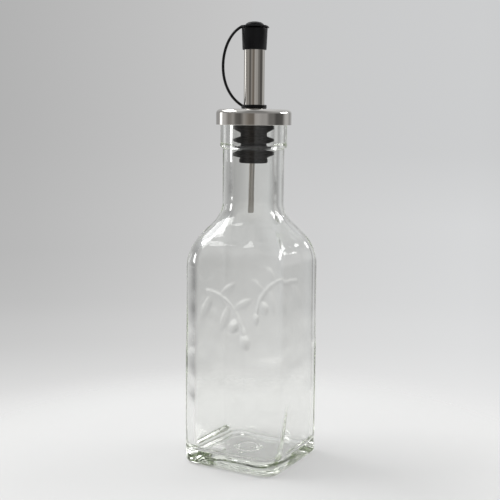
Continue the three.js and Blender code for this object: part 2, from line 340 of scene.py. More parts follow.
def mount(piece, node):
    """Puts a finished piece in the place of its CAD node."""
    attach(piece, "root")
    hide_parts(node)


def bottle_directions():
    """Directions round the axis, crowded where the corners turn and across the two sprig faces.

    They are the places where the running sum of a density reaches equal shares. The density is a
    constant, a bell curve over the angle from the nearest corner, and a plateau over each sprig.
    """
    direction = np.linspace(0, 2 * math.pi, 7201)
    off_corner = np.degrees(np.arccos(np.abs(np.sin(2 * direction)).clip(0, 1))) / 2
    off_sprig = np.degrees(np.arccos(np.abs(np.sin(direction)).clip(0, 1)))
    at_corner = 1.5 * np.exp(-((off_corner / 13) ** 2))
    at_sprig = 0.75 * (1 - smooth_share(off_sprig, 26, 36))
    density = 0.42 + at_corner + at_sprig
    total = np.concatenate([[0], np.cumsum((density[1:] + density[:-1]) / 2)])
    wanted = (np.arange(BOTTLE_COLUMNS) + 0.5) / BOTTLE_COLUMNS * total[-1]
    return np.interp(wanted, total, direction)


def square_reach(direction, half, corner):
    """Distance from the axis to a square with rounded corners, in a direction.

    On a flat side it is half / cos(direction), with the direction folded into an eighth of a turn.
    On a corner it is the far root of the distance to the circle of that radius at (c, c), with
    c = half - corner.
    """
    folded = np.abs((direction + math.pi / 4) % (math.pi / 2) - math.pi / 4)
    corner = np.minimum(corner, half)
    centre = half - corner
    rest = np.maximum(corner**2 - centre**2 * (1 - np.sin(2 * folded)), 0)
    on_corner = centre * (np.cos(folded) + np.sin(folded)) + np.sqrt(rest)
    return np.where(np.tan(folded) * half <= centre, half / np.cos(folded), on_corner)


def shoulder_line(steps):
    """[half width, height, lean] up the shoulder: an arc, a straight slope and the opposite arc."""
    arcs = SHOULDER_ARC + NECK_ARC
    slope = (UPPER_SPREAD - NECK_R - arcs * (1 - math.cos(SHOULDER_LEAN))) / math.sin(SHOULDER_LEAN)
    neck_z = SHOULDER_Z + arcs * math.sin(SHOULDER_LEAN) + slope * math.cos(SHOULDER_LEAN)
    low = np.linspace(0, SHOULDER_LEAN, steps)
    high = np.linspace(SHOULDER_LEAN, 0, steps * 2 // 3)
    lower = [
        UPPER_SPREAD - SHOULDER_ARC * (1 - np.cos(low)),
        SHOULDER_Z + SHOULDER_ARC * np.sin(low),
        low,
    ]
    upper = [NECK_R + NECK_ARC * (1 - np.cos(high)), neck_z - NECK_ARC * np.sin(high), high]
    return np.vstack([np.stack(lower, axis=1), np.stack(upper, axis=1)])


def corner_at(half, wall_half, wall_corner, neck_radius):
    """The corner radius grows evenly from the wall's to the full circle of the neck."""
    share = (wall_half - half) / (wall_half - neck_radius)
    return wall_corner + (neck_radius - wall_corner) * share


def underside_levels():
    """The pushed-up middle of the underside, with the plain ring standing down from it.

    With s as the share of the way to the rim, the height is PUSH_UP x (1 - s^4)^0.6, less a half
    round under the ring. The level is a circle in the middle and a rounded square at the rim.
    """
    under_half = FACE_SPREAD - HEEL - RIM
    under_corner = CORNER - HEEL - 1
    half = np.concatenate(
        [
            np.linspace(0.8, RING_R - 1.5, 5),
            np.linspace(RING_R - 1.1, RING_R + 1.1, 9),
            np.linspace(RING_R + 1.8, under_half, 11),
        ]
    )
    share = half / under_half
    z = PUSH_UP * (1 - share**4) ** 0.6
    off_ring = (half - RING_R) / RING_HALF_WIDTH
    z = z - RING_RELIEF * np.sqrt(np.clip(1 - off_ring**2, 0, 1))
    squareness = (1 - under_corner / under_half) * smooth_share(share, 0.4, 1)
    return np.stack([half, z, half * (1 - squareness)], axis=1)


def wall_levels():
    """The rim, the heel, the plain zone, the ledge and the upper zone, up to the shoulder.

    The levels stand closest together where the sprig is.
    """
    rim_half = FACE_SPREAD - HEEL
    rim = [[rim_half - RIM / 2, 0, CORNER - HEEL - 0.5]]
    bend = arc(rim_half, HEEL, HEEL, -90, 0, 10)
    heel = np.column_stack([bend, CORNER - (FACE_SPREAD - bend[:, 0])])
    z = np.concatenate(
        [
            np.linspace(HEEL + 2, LEDGE_Z - 5, 15),
            np.linspace(LEDGE_Z - 4.4, LEDGE_Z + 10, 22),
            np.linspace(LEDGE_Z + 10.6, SHOULDER_Z - 0.6, 53),
        ]
    )
    half = FACE_SPREAD - SLIMMER * smooth_share(z, LEDGE_Z - 2, LEDGE_Z + 24)
    corner = CORNER + LEDGE_FULLER * smooth_share(z, LEDGE_Z, LEDGE_Z + LEDGE_RISE)
    return np.vstack([rim, heel, np.column_stack([half, z, corner])])


def lip_levels():
    """The neck's top, the beaded lip and the rounded mouth: a turned profile."""
    corners = [
        [NECK_R, LIP_Z - 12, 0],
        [NECK_R, LIP_Z - 1, 0.7],
        [BEAD_R - 0.4, LIP_Z - 0.3, 0.6],
        [BEAD_R, LIP_Z + 0.7, 0.6],
        [LIP_R, LIP_Z + 1.9, 0.8],
        [LIP_R, MOUTH_Z, 1.5],
        [BORE_R, MOUTH_Z, 1.3],
        [BORE_R, MOUTH_Z - 6, 0],
    ]
    profile = rounded(corners, steps=4)
    return np.column_stack([profile, profile[:, 0]])


def round_levels(radius, low_z, high_z, steps):
    """Full circles of one radius, evenly between two heights and without those two."""
    z = np.linspace(low_z, high_z, steps)[1:-1]
    circle = np.full(len(z), radius)
    return np.column_stack([circle, z, circle])


def outside_levels():
    """[half width, height, corner radius] of the outside, from the underside over the lip."""
    line = shoulder_line(18)
    corner = corner_at(line[:, 0], UPPER_SPREAD, UPPER_CORNER, NECK_R)
    shoulder = np.column_stack([line[:, :2], corner])
    neck = round_levels(NECK_R, line[-1, 1], LIP_Z - 12, 6)
    return np.vstack([underside_levels(), wall_levels(), shoulder, neck, lip_levels()])


def inside_levels():
    """The same for the inside, from the bore down to the floor. The wall is thickest in the neck.

    In the shoulder each level is the outer one moved inwards along its normal by the thickness.
    The floor rises by FLOOR_CROWN x (1 - s^2), with s as the share of the way to the wall.
    """
    half = UPPER_SPREAD - WALL
    neck_wall = NECK_R - BORE_R
    line = shoulder_line(18)[::-1]
    thickness = neck_wall + (WALL - neck_wall) * smooth_share(line[:, 0], NECK_R, UPPER_SPREAD)
    inner = line[:, 0] - thickness * np.cos(line[:, 2])
    inner_z = line[:, 1] - thickness * np.sin(line[:, 2])
    corner = corner_at(inner, half, INSIDE_CORNER, BORE_R)
    shoulder = np.column_stack([inner, inner_z, corner])
    bore = round_levels(BORE_R, MOUTH_Z - 6, inner_z[0], 8)
    wall_z = np.linspace(inner_z[-1], FLOOR_Z + INSIDE_FOOT, 26)[1:-1]
    wall = np.column_stack([np.full(len(wall_z), half), wall_z, np.full(len(wall_z), INSIDE_CORNER)])
    bend = arc(half - INSIDE_FOOT, FLOOR_Z + INSIDE_FOOT, INSIDE_FOOT, 0, -90, 9)
    foot = np.column_stack([bend, INSIDE_CORNER - (half - bend[:, 0]) * 0.9])
    share = np.linspace(0.76, 0.06, 30)
    floor_z = FLOOR_Z + FLOOR_CROWN * (1 - share**2)
    bottom = np.column_stack([half * share, floor_z, half * share * (1 - 0.45 * share)])
    return np.vstack([bore, shoulder, wall, foot, bottom])


def bottle_rings(levels, direction):
    """Every level's rounded square, as an array of levels x directions x 3."""
    half, up, corner = (levels[:, column, None] for column in range(3))
    reach = square_reach(direction[None], half, corner)
    upright = up + np.zeros_like(reach)
    return np.stack([reach * np.cos(direction), reach * np.sin(direction), upright], axis=-1)


def stem_point(share):
    """A point of the quadratic curve through the stem's three control points."""
    share = np.asarray(share)[..., None]
    return (1 - share) ** 2 * STEM[0] + 2 * share * (1 - share) * STEM[1] + share**2 * STEM[2]


def lens_height(x, z, spring, tip):
    """Height of a leaf or fruit over the face: height x (1 - d^2)^1.5 inside its outline.

    d is the distance from its middle, in half lengths along and half breadths across. The breadth
    shrinks towards the ends by the tip's share, which points a leaf and leaves a fruit round. A
    leaf also has a narrow groove along its middle.
    """
    share, degrees, length, breadth, height = spring
    turn = math.radians(degrees)
    along_way = np.array([math.cos(turn), math.sin(turn)])
    middle = stem_point(share) + along_way * length / 2
    dx, dz = x - middle[0], z - middle[1]
    along = (dx * along_way[0] + dz * along_way[1]) / (length / 2)
    across = (dz * along_way[0] - dx * along_way[1]) / (breadth / 2)
    across = across / (1 - tip * np.clip(np.abs(along), 0, 1) ** 2)
    inside = np.clip(1 - along**2 - across**2, 0, 1)
    groove = tip * 0.12 * np.exp(-((across * breadth / 2 / 0.45) ** 2)) * (inside > 0)
    return np.clip(height - groove, 0, None) * inside**1.5


def sprig_height(x, z):
    """Height of the whole sprig over a face, with x to the right as one looks at that face.

    The stem's is STEM_HEIGHT x (1 - d^2)^1.5, with d the distance from its curve over 2 x STEM_R.
    Parts that cross are joined softly, by the root of the sum of their squares.
    """
    samples = stem_point(np.linspace(0, 1, 60))
    away = np.sqrt(((x[..., None] - samples[:, 0]) ** 2 + (z[..., None] - samples[:, 1]) ** 2).min(-1))
    height = STEM_HEIGHT * np.clip(1 - (away / (2 * STEM_R)) ** 2, 0, 1) ** 1.5
    for spring in LEAVES:
        height = np.hypot(height, lens_height(x, z, spring, LEAF_TIP))
    for spring in FRUITS:
        height = np.hypot(height, lens_height(x, z, spring, 0))
    return height


def press_sprigs(outer, direction):
    """Raises the sprig on the front face and on the back one, each the right way round."""
    on_wall = (outer[:, 0, 2] > LEDGE_Z + 6) & (outer[:, 0, 2] < SHOULDER_Z)
    for side in (-1, 1):
        where = np.ix_(on_wall, side * np.sin(direction) > 0.6)
        patch = outer[where]
        patch[..., 1] += side * sprig_height(-side * patch[..., 0], patch[..., 2])
        outer[where] = patch


def shoulder_height(points):
    """A faint ripple of the mould on the outside of the shoulder, fading out at both its ends."""
    z = points[..., 2]
    fade = smooth_share(z, SHOULDER_Z, 104) * (1 - smooth_share(z, 122, 132))
    return fade * ripple(points, 5.5, 11) * SHOULDER_RIPPLE


def blown_height(points):
    """How uneven the air left the inside of the body: a wide ripple and a shorter, lower one."""
    z = points[..., 2]
    in_body = smooth_share(z, FLOOR_Z + 2, FLOOR_Z + 14) * (1 - smooth_share(z, 112, 126))
    return in_body * (ripple(points, 31, 3) * 0.22 + ripple(points, 13, 4) * 0.05)


def fold_height(points):
    """A low upright fold on the inside of the right face, near the front corner.

    Across it the height is exp(-d^2), with d the distance along the wall in half widths from a
    line that slants to the corner as it goes down. It starts at FOLD_END_Z, grows downwards to
    its full height at FOLD_FULL_Z, and fades out over the last 2 mm above the floor.
    """
    x, y, z = points[..., 0], points[..., 1], points[..., 2]
    line_y = FOLD_Y + FOLD_SLANT * (z - FLOOR_Z)
    across = (y - line_y) / FOLD_HALF_WIDTH
    upward = 1 - smooth_share(z, FOLD_FULL_Z, FOLD_END_Z)
    on_right_face = x > 15
    above_floor = smooth_share(z, FLOOR_Z, FLOOR_Z + 2)
    return FOLD_HEIGHT * upward * np.exp(-(across**2)) * on_right_face * above_floor


def blister_height(points):
    """Height of the blisters over the floor: height x (1 - d^2)^2 within each one's radius."""
    height = np.zeros(points.shape[:-1])
    for x, y, radius, rise in BLISTERS:
        share = ((points[..., 0] - x) ** 2 + (points[..., 1] - y) ** 2) / radius**2
        height += rise * np.clip(1 - share, 0, 1) ** 2
    on_floor = points[..., 2] < FLOOR_Z + 1.5
    return height * on_floor


def bottle(material):
    """The bottle: one closed skin over the outside, round the lip and down the inside."""
    direction = bottle_directions()
    radial = np.stack([np.cos(direction), np.sin(direction), np.zeros_like(direction)], axis=-1)
    outer = bottle_rings(outside_levels(), direction)
    press_sprigs(outer, direction)
    outer += shoulder_height(outer)[..., None] * radial
    inner = bottle_rings(inside_levels(), direction)
    inner += blown_height(inner)[..., None] * radial
    inner -= fold_height(inner)[..., None] * radial
    inner[..., 2] += blister_height(inner)
    poles = np.array([[0, 0, PUSH_UP], [0, 0, FLOOR_Z + FLOOR_CROWN]])
    surface = skin(np.concatenate([outer, inner]), poles)
    piece = object_of("bottle_glass", [surface], material)
    mount(piece, "bottle")


def stopper_corners():
    """The stopper's profile: a plain plug, a core with three fins, and the brim on the mouth."""
    corners = [[0, STOPPER_Z, 0], [PLUG_R, STOPPER_Z, 0.8], [PLUG_R, STOPPER_Z + 1.8, 0.4]]
    for top, edge, under in FINS:
        corners += [
            [CORE_R, under, 0.5],
            [FIN_R, edge, 0.35],
            [FIN_R, top, 0.35],
            [CORE_R, top + 1.2, 0.5],
        ]
    corners += [
        [CORE_R, MOUTH_Z - 1, 0.5],
        [BORE_R - 0.4, MOUTH_Z - 0.5, 0.3],
        [BORE_R - 0.2, MOUTH_Z + FIT, 0.1],
        [BRIM_R, MOUTH_Z + FIT, 0.4],
        [BRIM_R, STOPPER_TOP_Z, 0.6],
        [SPOUT_R + FIT, STOPPER_TOP_Z, 0.2],
        [SPOUT_R + FIT, SOCKET_Z, 0.2],
        [0, SOCKET_Z, 0],
    ]
    return corners


def rod(name, distance, radius, material):
    """An upright cutter through the stopper's web, at a distance from the axis, towards the strap."""
    low_z, high_z = STOPPER_Z - 1, SOCKET_Z + 1
    corners = [[0, low_z, 0], [radius, low_z, 0], [radius, high_z, 0], [0, high_z, 0]]
    points, faces = turned_solid(corners)
    points = turned_about(points + [distance, 0, 0], STRAP_TURN)
    return object_of(name, [(points, faces)], material)


def cut(piece, cutters):
    """Bores the cutters out of a piece and removes them."""
    for cutter in cutters:
        difference = piece.modifiers.new(cutter.name, "BOOLEAN")
        difference.operation = "DIFFERENCE"
        difference.solver = "EXACT"
        difference.object = cutter
    graph = bpy.context.evaluated_depsgraph_get()
    made = bpy.data.meshes.new_from_object(piece.evaluated_get(graph))
    piece.modifiers.clear()
    old, piece.data = piece.data, made
    bpy.data.meshes.remove(old)
    for cutter in cutters:
        bpy.data.objects.remove(cutter)


def soften_fins(points):
    """Lets the lowest fin droop, most on the strap's side, and gives all the fins a slight ripple."""
    reach = np.hypot(points[:, 0], points[:, 1])
    facing = np.cos(np.arctan2(points[:, 1], points[:, 0]) - STRAP_TURN)
    z = points[:, 2]
    lowest_top, _, lowest_under = FINS[0]
    on_lowest = smooth_share(reach, CORE_R + 0.4, FIN_R) * (z > lowest_under + 0.3) * (z < lowest_top + 0.8)
    z -= on_lowest * (0.25 + 0.75 * np.clip(facing, 0, 1) ** 3) * FIN_DROOP
    outwards = smooth_share(reach, CORE_R, FIN_R)
    z += ripple(points, 9, 8) * 0.12 * outwards * (z < MOUTH_Z - 3)


def stopper(material):
    """The rubber stopper, with the hole for the air tube and the pouring channel."""
    points, faces = turned_solid(stopper_corners())
    soften_fins(points)
    piece = object_of("stopper_rubber", [(points, faces)], material)
    hole = rod("tube_hole", TUBE_X, AIR_TUBE_R + FIT, material)
    channel = rod("pouring_channel", -CHANNEL_X, CHANNEL_R, material)
    cut(piece, [hole, channel])
    mount(piece, "stopper")


def collar(material):
    """The pressed collar: a shallow cup with a rounded edge, a slight crown and a plain lower edge."""
    inside_r = COLLAR_R - SHEET
    edge_z = COLLAR_TOP_Z - COLLAR_CROWN
    corners = [
        [inside_r, COLLAR_Z, 0.35],
        [COLLAR_R - 0.05, COLLAR_Z, 0.15],
        [COLLAR_R, edge_z, 2.2],
        [SPOUT_R + FIT, COLLAR_TOP_Z, 0.3],
        [SPOUT_R + FIT, COLLAR_TOP_Z - SHEET, 0.2],
        [inside_r, edge_z - SHEET, 1.2],
    ]
    piece = object_of("collar_steel", [turned_tube(corners, steps=9)], material)
    mount(piece, "collar")


def spout_tube(material):
    """The pouring tube, open at both ends, its rims rounded over."""
    surface = turned_band(SPOUT_R - SPOUT_WALL, SPOUT_R, SPOUT_Z, SPOUT_TOP_Z, (0.2, 0.2, 0.3, 0.3))
    piece = object_of("spout_steel", [surface], material)
    mount(piece, "spout_tube")


def air_tube(material):
    """The thin air tube. It leans a little as it goes down, as the soft web lets it."""
    inner_r = AIR_TUBE_R - AIR_TUBE_WALL
    points, faces = turned_band(inner_r, AIR_TUBE_R, AIR_TUBE_Z, AIR_TUBE_TOP_Z, (0.12,) * 4)
    points = turned_about(points + [TUBE_X, 0, 0], STRAP_TURN)
    below = (STOPPER_Z - points[:, 2]).clip(0)
    swing = below * AIR_TUBE_LEAN / (STOPPER_Z - AIR_TUBE_Z)
    points[:, 0] -= swing * math.cos(CAMERA_TURN)
    points[:, 1] -= swing * math.sin(CAMERA_TURN)
    piece = object_of("air_tube_steel", [(points, faces)], material)
    mount(piece, "air_tube")


def spout_cap(material):
    """The rubber cap: a thimble that flares upwards, a neck and a domed button."""
    hollow_z = SPOUT_TOP_Z + FIT
    hollow_r = SPOUT_R + FIT
    skirt_z = CAP_Z - CAP_SKIRT
    corners = [
        [0, hollow_z, 0],
        [hollow_r, hollow_z, 0.3],
        [hollow_r, skirt_z, 0.15],
        [CAP_R - 0.45, skirt_z, 0.25],
        [CAP_R, CAP_TOP_Z, 0.5],
        [BUTTON_NECK_R, CAP_TOP_Z, 0.2],
        [BUTTON_NECK_R, BUTTON_Z, 0.2],
        [BUTTON_R, BUTTON_Z, 0.15],
        [BUTTON_R - 0.15, BUTTON_Z + 0.55, 0.4],
        [BUTTON_R * 0.7, BUTTON_Z + 1.3, 1.5],
        [BUTTON_R * 0.3, BUTTON_TOP_Z, 1.5],
        [0, BUTTON_TOP_Z, 0],
    ]
    piece = object_of("cap_rubber", [turned_solid(corners)], material)
    mount(piece, "spout_cap")


def strap_skin(controls):
    """An oval section carried along a cubic curve in the plane of the strap.

    Each ring stands square to the curve. Round it, a point goes half the thickness x sin^0.8 in
    that plane, and half the width x cos out of it.
    """
    share = np.linspace(0, 1, STRAP_STEPS)[:, None]
    a, b, c, d = controls
    rest = 1 - share
    line = rest**3 * a + 3 * rest**2 * share * b + 3 * rest * share**2 * c + share**3 * d
    way = 3 * rest**2 * (b - a) + 6 * rest * share * (c - b) + 3 * share**2 * (d - c)
    way /= np.linalg.norm(way, axis=1)[:, None]
    normal = np.stack([-way[:, 1], way[:, 0]], axis=1)
    angle = np.arange(STRAP_COLUMNS) / STRAP_COLUMNS * 2 * math.pi
    offset = STRAP_THICK / 2 * np.sign(np.sin(angle)) * np.abs(np.sin(angle)) ** 0.8
    flat = line[:, None] + offset[None, :, None] * normal[:, None]
    across = np.broadcast_to(-STRAP_WIDTH / 2 * np.cos(angle), flat.shape[:2])
    rings = np.stack([flat[..., 0], across, flat[..., 1]], axis=-1)
    poles = np.array([[line[0, 0], 0, line[0, 1]], [line[-1, 0], 0, line[-1, 1]]])
    return skin(rings, poles)


def tether(material):
    """The strap with its two rings. The upper ring sags a little on the side away from the strap."""
    ring_z, ring_top = CAP_TOP_Z + FIT, BUTTON_Z - FIT
    upper, upper_faces = turned_band(
        BUTTON_NECK_R + FIT, UPPER_RING_R, ring_z, ring_top, (0.15, 0.3, 0.3, 0.15)
    )
    sag = smooth_share(-upper[:, 0], 5.2, UPPER_RING_R)
    beside_cap = np.hypot(upper[:, 0], upper[:, 1]) > CAP_R + 0.05
    upper[:, 2] -= RING_SAG * sag * beside_cap
    lower_top = LOWER_RING_Z + LOWER_RING_TALL
    lower, lower_faces = turned_band(
        SPOUT_R + FIT, LOWER_RING_R, LOWER_RING_Z, lower_top, (0.2, 0.4, 0.6, 0.2)
    )
    start, end = [5.9, (ring_z + ring_top) / 2], [5.45, LOWER_RING_Z + 1.2]
    strap, strap_faces = strap_skin(np.array([start, [16.6, 207], [19.5, 182.5], end]))
    surfaces = [
        (turned_about(upper, STRAP_TURN), upper_faces),
        (turned_about(strap, STRAP_TURN), strap_faces),
        (turned_about(lower, STRAP_TURN), lower_faces),
    ]
    piece = object_of("tether_rubber", surfaces, material)
    mount(piece, "tether")


def new_material(name):
    """An empty node material whose shader is wired to its output."""
    material = bpy.data.materials.new(name)
    material.use_nodes = True
    nodes, links = material.node_tree.nodes, material.node_tree.links
    nodes.clear()
    output = nodes.new("ShaderNodeOutputMaterial")
    shader = nodes.new("ShaderNodeBsdfPrincipled")
    links.new(shader.outputs["BSDF"], output.inputs["Surface"])
    return material, nodes, links, shader


def noise(nodes, links, scale, detail, stretch=(1, 1, 1)):
    """A noise pattern on the piece's own coordinates, in metres, stretched by three factors."""
    place = nodes.new("ShaderNodeTexCoord")
    mapping = nodes.new("ShaderNodeMapping")
    mapping.inputs["Scale"].default_value = stretch
    pattern = nodes.new("ShaderNodeTexNoise")
    pattern.inputs["Scale"].default_value = scale
    pattern.inputs["Detail"].default_value = detail
    links.new(place.outputs["Object"], mapping.inputs["Vector"])
    links.new(mapping.outputs["Vector"], pattern.inputs["Vector"])
    return pattern.outputs["Fac"]


def ranged(nodes, links, value, low, high):
    """A noise pattern's usual values, 0.3 to 0.7, spread between two numbers."""
    spread = nodes.new("ShaderNodeMapRange")
    spread.inputs["From Min"].default_value = 0.3
    spread.inputs["From Max"].default_value = 0.7
    spread.inputs["To Min"].default_value = low
    spread.inputs["To Max"].default_value = high
    links.new(value, spread.inputs["Value"])
    return spread.outputs["Result"]


def bump(nodes, links, shader, height, depth, before=None):
    """Fine relief of a depth in millimetres on the shader's normal, on top of an earlier one."""
    relief = nodes.new("ShaderNodeBump")
    relief.inputs["Strength"].default_value = 1
    relief.inputs["Distance"].default_value = depth * MM
    links.new(height, relief.inputs["Height"])
    if before is not None:
        links.new(before.outputs["Normal"], relief.inputs["Normal"])
    links.new(relief.outputs["Normal"], shader.inputs["Normal"])
    return relief


def glass():
    """Clear soda-lime glass, a little uneven from the mould, greener where it is thick."""
    material, nodes, links, shader = new_material("clear_glass")
    shader.inputs["Base Color"].default_value = (0.962, 0.964, 0.957, 1)
    shader.inputs["Roughness"].default_value = 0
    shader.inputs["IOR"].default_value = 1.52
    shader.inputs["Transmission Weight"].default_value = 1
    slow = noise(nodes, links, 55, 1)
    fine = noise(nodes, links, 240, 2)
    grain = noise(nodes, links, 1100, 1)
    first = bump(nodes, links, shader, slow, 0.35)
    second = bump(nodes, links, shader, fine, 0.02, before=first)
    bump(nodes, links, shader, grain, 0.006, before=second)
    volume = nodes.new("ShaderNodeVolumeAbsorption")
    volume.inputs["Color"].default_value = (0.725, 0.765, 0.66, 1)
    volume.inputs["Density"].default_value = 11
    output = next(node for node in nodes if node.type == "OUTPUT_MATERIAL")
    links.new(volume.outputs["Volume"], output.inputs["Volume"])
    return material


def steel(name, colour, stretch):
    """Polished stainless steel: faint drawing streaks and soft handling marks in its gloss."""
    material, nodes, links, shader = new_material(name)
    shader.inputs["Base Color"].default_value = (*colour, 1)
    shader.inputs["Metallic"].default_value = 1
    marks = noise(nodes, links, 260, 3)
    links.new(ranged(nodes, links, marks, 0.03, 0.09), shader.inputs["Roughness"])
    streaks = noise(nodes, links, 900, 2, stretch)
    bump(nodes, links, shader, streaks, 0.004)
    return material


def tube_steel():
    """Steel of the spout and the air tube, with its drawing streaks along them."""
    return steel("tube_steel", (0.68, 0.655, 0.615), (1, 1, 0.04))


def collar_steel():
    """Steel of the collar, with faint polishing streaks round its side."""
    return steel("collar_steel", (0.66, 0.64, 0.61), (0.05, 0.05, 1))


def rubber(name, colour, gloss, grain, shine):
    """Moulded black rubber: a fine grain of a depth in millimetres, its gloss broken up by touch.

    The gloss is the least and the greatest roughness, and the shine is the strength of the mirror
    reflection.
    """
    material, nodes, links, shader = new_material(name)
    shader.inputs["Specular IOR Level"].default_value = shine
    tone = noise(nodes, links, 180, 3)
    mix = nodes.new("ShaderNodeMix")
    mix.data_type = "RGBA"
    mix.inputs["A"].default_value = (*colour, 1)
    mix.inputs["B"].default_value = (*(1.6 * part for part in colour), 1)
    links.new(ranged(nodes, links, tone, 0, 1), mix.inputs["Factor"])
    links.new(mix.outputs["Result"], shader.inputs["Base Color"])
    links.new(ranged(nodes, links, tone, *gloss), shader.inputs["Roughness"])
    pores = noise(nodes, links, 2400, 2)
    bump(nodes, links, shader, pores, grain)
    return material


def cap_rubber():
    """Smooth black rubber of the cap and the strap."""
    return rubber("cap_rubber", (0.003, 0.003, 0.0035), gloss=(0.28, 0.4), grain=0.003, shine=0.2)


def stopper_rubber():
    """Matt black rubber of the stopper."""
    return rubber("stopper_rubber", (0.0015, 0.0015, 0.002), gloss=(0.55, 0.75), grain=0.012, shine=0.05)


# Floor
FLOOR_DROP = 0.04  # gap under the bottle's rim
FADE_FROM = 95.0  # distance from the axis where the floor begins to fade
FADE_TO = 195.0  # and where it is gone


def floor_material():
    """A matt pale floor with a faint glow of its own, which fades out into the world round it."""
    material, nodes, links, shader = new_material("studio_floor")
    shader.inputs["Base Color"].default_value = (0.545, 0.545, 0.54, 1)
    shader.inputs["Emission Color"].default_value = (1, 1, 0.99, 1)
    shader.inputs["Emission Strength"].default_value = 0.33
    shader.inputs["Roughness"].default_value = 0.9
    shader.inputs["Specular IOR Level"].default_value = 0.1
    place = nodes.new("ShaderNodeTexCoord")
    length = nodes.new("ShaderNodeVectorMath")
    length.operation = "LENGTH"
    links.new(place.outputs["Object"], length.inputs[0])
    fade = nodes.new("ShaderNodeMapRange")
    fade.interpolation_type = "SMOOTHSTEP"
    fade.inputs["From Min"].default_value = FADE_FROM * MM
    fade.inputs["From Max"].default_value = FADE_TO * MM
    fade.inputs["To Min"].default_value = 1
    fade.inputs["To Max"].default_value = 0
    links.new(length.outputs["Value"], fade.inputs["Value"])
    links.new(fade.outputs["Result"], shader.inputs["Alpha"])
    return material


def floor():
    """A square floor just under the bottle, as wide as its fade."""
    corners = np.array([[-1, -1, 0], [1, -1, 0], [1, 1, 0], [-1, 1, 0]]) * FADE_TO
    surface = (corners - [0, 0, FLOOR_DROP], [[0, 1, 2, 3]])
    object_of("studio_floor", [surface], floor_material())


# The room round the object, as [degrees to the right of the camera's side, brightness, share of
# the blue that is left] for three heights: at eye level, above and below it, and overhead.
EYE_LEVEL = [
    [-180, 0.57, 1],
    [-167, 0.455, 1],
    [-155, 0.36, 1],
    [-130, 0.4, 1],
    [-106, 0.6, 1],
    [-97, 0.56, 0.98],
    [-84, 0.27, 0.92],
    [-75, 0.3, 0.92],
    [-66, 0.38, 0.95],
    [-56, 0.16, 0.92],
    [-42, 0.12, 0.92],
    [-36, 0.22, 0.92],
    [-30, 0.36, 0.92],
    [-21, 0.28, 0.85],
    [-14, 0.2, 0.8],
    [-1, 0.18, 0.8],
    [4, 0.45, 0.95],
    [13, 0.48, 0.97],
    [25, 0.4, 0.97],
    [38, 0.42, 0.97],
    [47, 0.2, 0.95],
    [62, 0.2, 0.95],
    [72, 0.09, 0.95],
    [96, 0.12, 0.95],
    [110, 0.55, 1],
    [122, 0.6, 1],
    [138, 0.34, 1],
    [152, 0.48, 1.02],
    [167, 0.61, 1.02],
    [180, 0.57, 1.01],
]
AROUND = [
    [-180, 0.595, 1],
    [-167, 0.465, 1],
    [-150, 0.38, 1],
    [-125, 0.22, 1],
    [-100, 0.26, 1],
    [-60, 0.3, 0.98],
    [0, 0.3, 0.98],
    [60, 0.3, 0.98],
    [100, 0.2, 0.98],
    [125, 0.24, 1],
    [140, 0.36, 1],
    [154, 0.52, 1.02],
    [167, 0.67, 1.02],
    [180, 0.595, 1],
]
OVERHEAD = [
    [-180, 0.78, 1.03],
    [-90, 0.78, 1.03],
    [-55, 0.6, 1.03],
    [-25, 0.26, 1],
    [35, 0.26, 1],
    [65, 0.5, 1],
    [100, 0.75, 1.03],
    [180, 0.78, 1.03],
]
FLOOR_TONE = 0.863  # brightness of the world below, where it carries the floor on

# Shares by the angle above level, as [degrees, share]: where AROUND takes the place of EYE_LEVEL,
# where the floor's tone takes the place of both, and where OVERHEAD takes the place of all.
OFF_LEVEL = [[-90, 1], [-6, 1], [-2, 0], [7, 0], [13, 1], [90, 1]]
TOWARDS_FLOOR = [
    [-90, 1],
    [-18.4, 1],
    [-17.3, 0.94],
    [-16.2, 0.8],
    [-15, 0.6],
    [-13.9, 0.45],
    [-12.8, 0.32],
    [-11.6, 0.25],
    [-10.5, 0.15],
    [-9.3, 0.1],
    [-7.6, 0.05],
    [0, 0],
]
TOWARDS_CEILING = [[-90, 0], [7, 0], [30, 0.5], [60, 1], [90, 1]]


def ramp(nodes, links, value, stops):
    """A colour ramp through [position, brightness, share of blue] stops, driven by a value."""
    band = nodes.new("ShaderNodeValToRGB")
    elements = band.color_ramp.elements
    while len(elements) > 1:
        elements.remove(elements[-1])
    for index, (position, tone, blue) in enumerate(stops):
        element = elements[0] if index == 0 else elements.new(position)
        element.position = position
        element.color = (tone, tone * (1 + blue) / 2, tone * blue, 1)
    links.new(value, band.inputs["Fac"])
    return band.outputs["Color"]


def by_turn(nodes, links, turn, table):
    """A brightness that depends on the direction round the object."""
    return ramp(nodes, links, turn, [[(angle + 180) / 360, tone, blue] for angle, tone, blue in table])


def by_height(nodes, links, lift, table):
    """A share that depends on the angle above level."""
    stops = [[(math.sin(math.radians(up)) + 1) / 2, share, 1] for up, share in table]
    return ramp(nodes, links, lift, stops)


def mixed(nodes, links, share, first, second):
    """A mix of two colours, each a node's output or a plain value."""
    mix = nodes.new("ShaderNodeMix")
    mix.data_type = "RGBA"
    links.new(share, mix.inputs["Factor"])
    for socket, colour in (("A", first), ("B", second)):
        if isinstance(colour, tuple):
            mix.inputs[socket].default_value = colour
        else:
            links.new(colour, mix.inputs[socket])
    return mix.outputs["Result"]


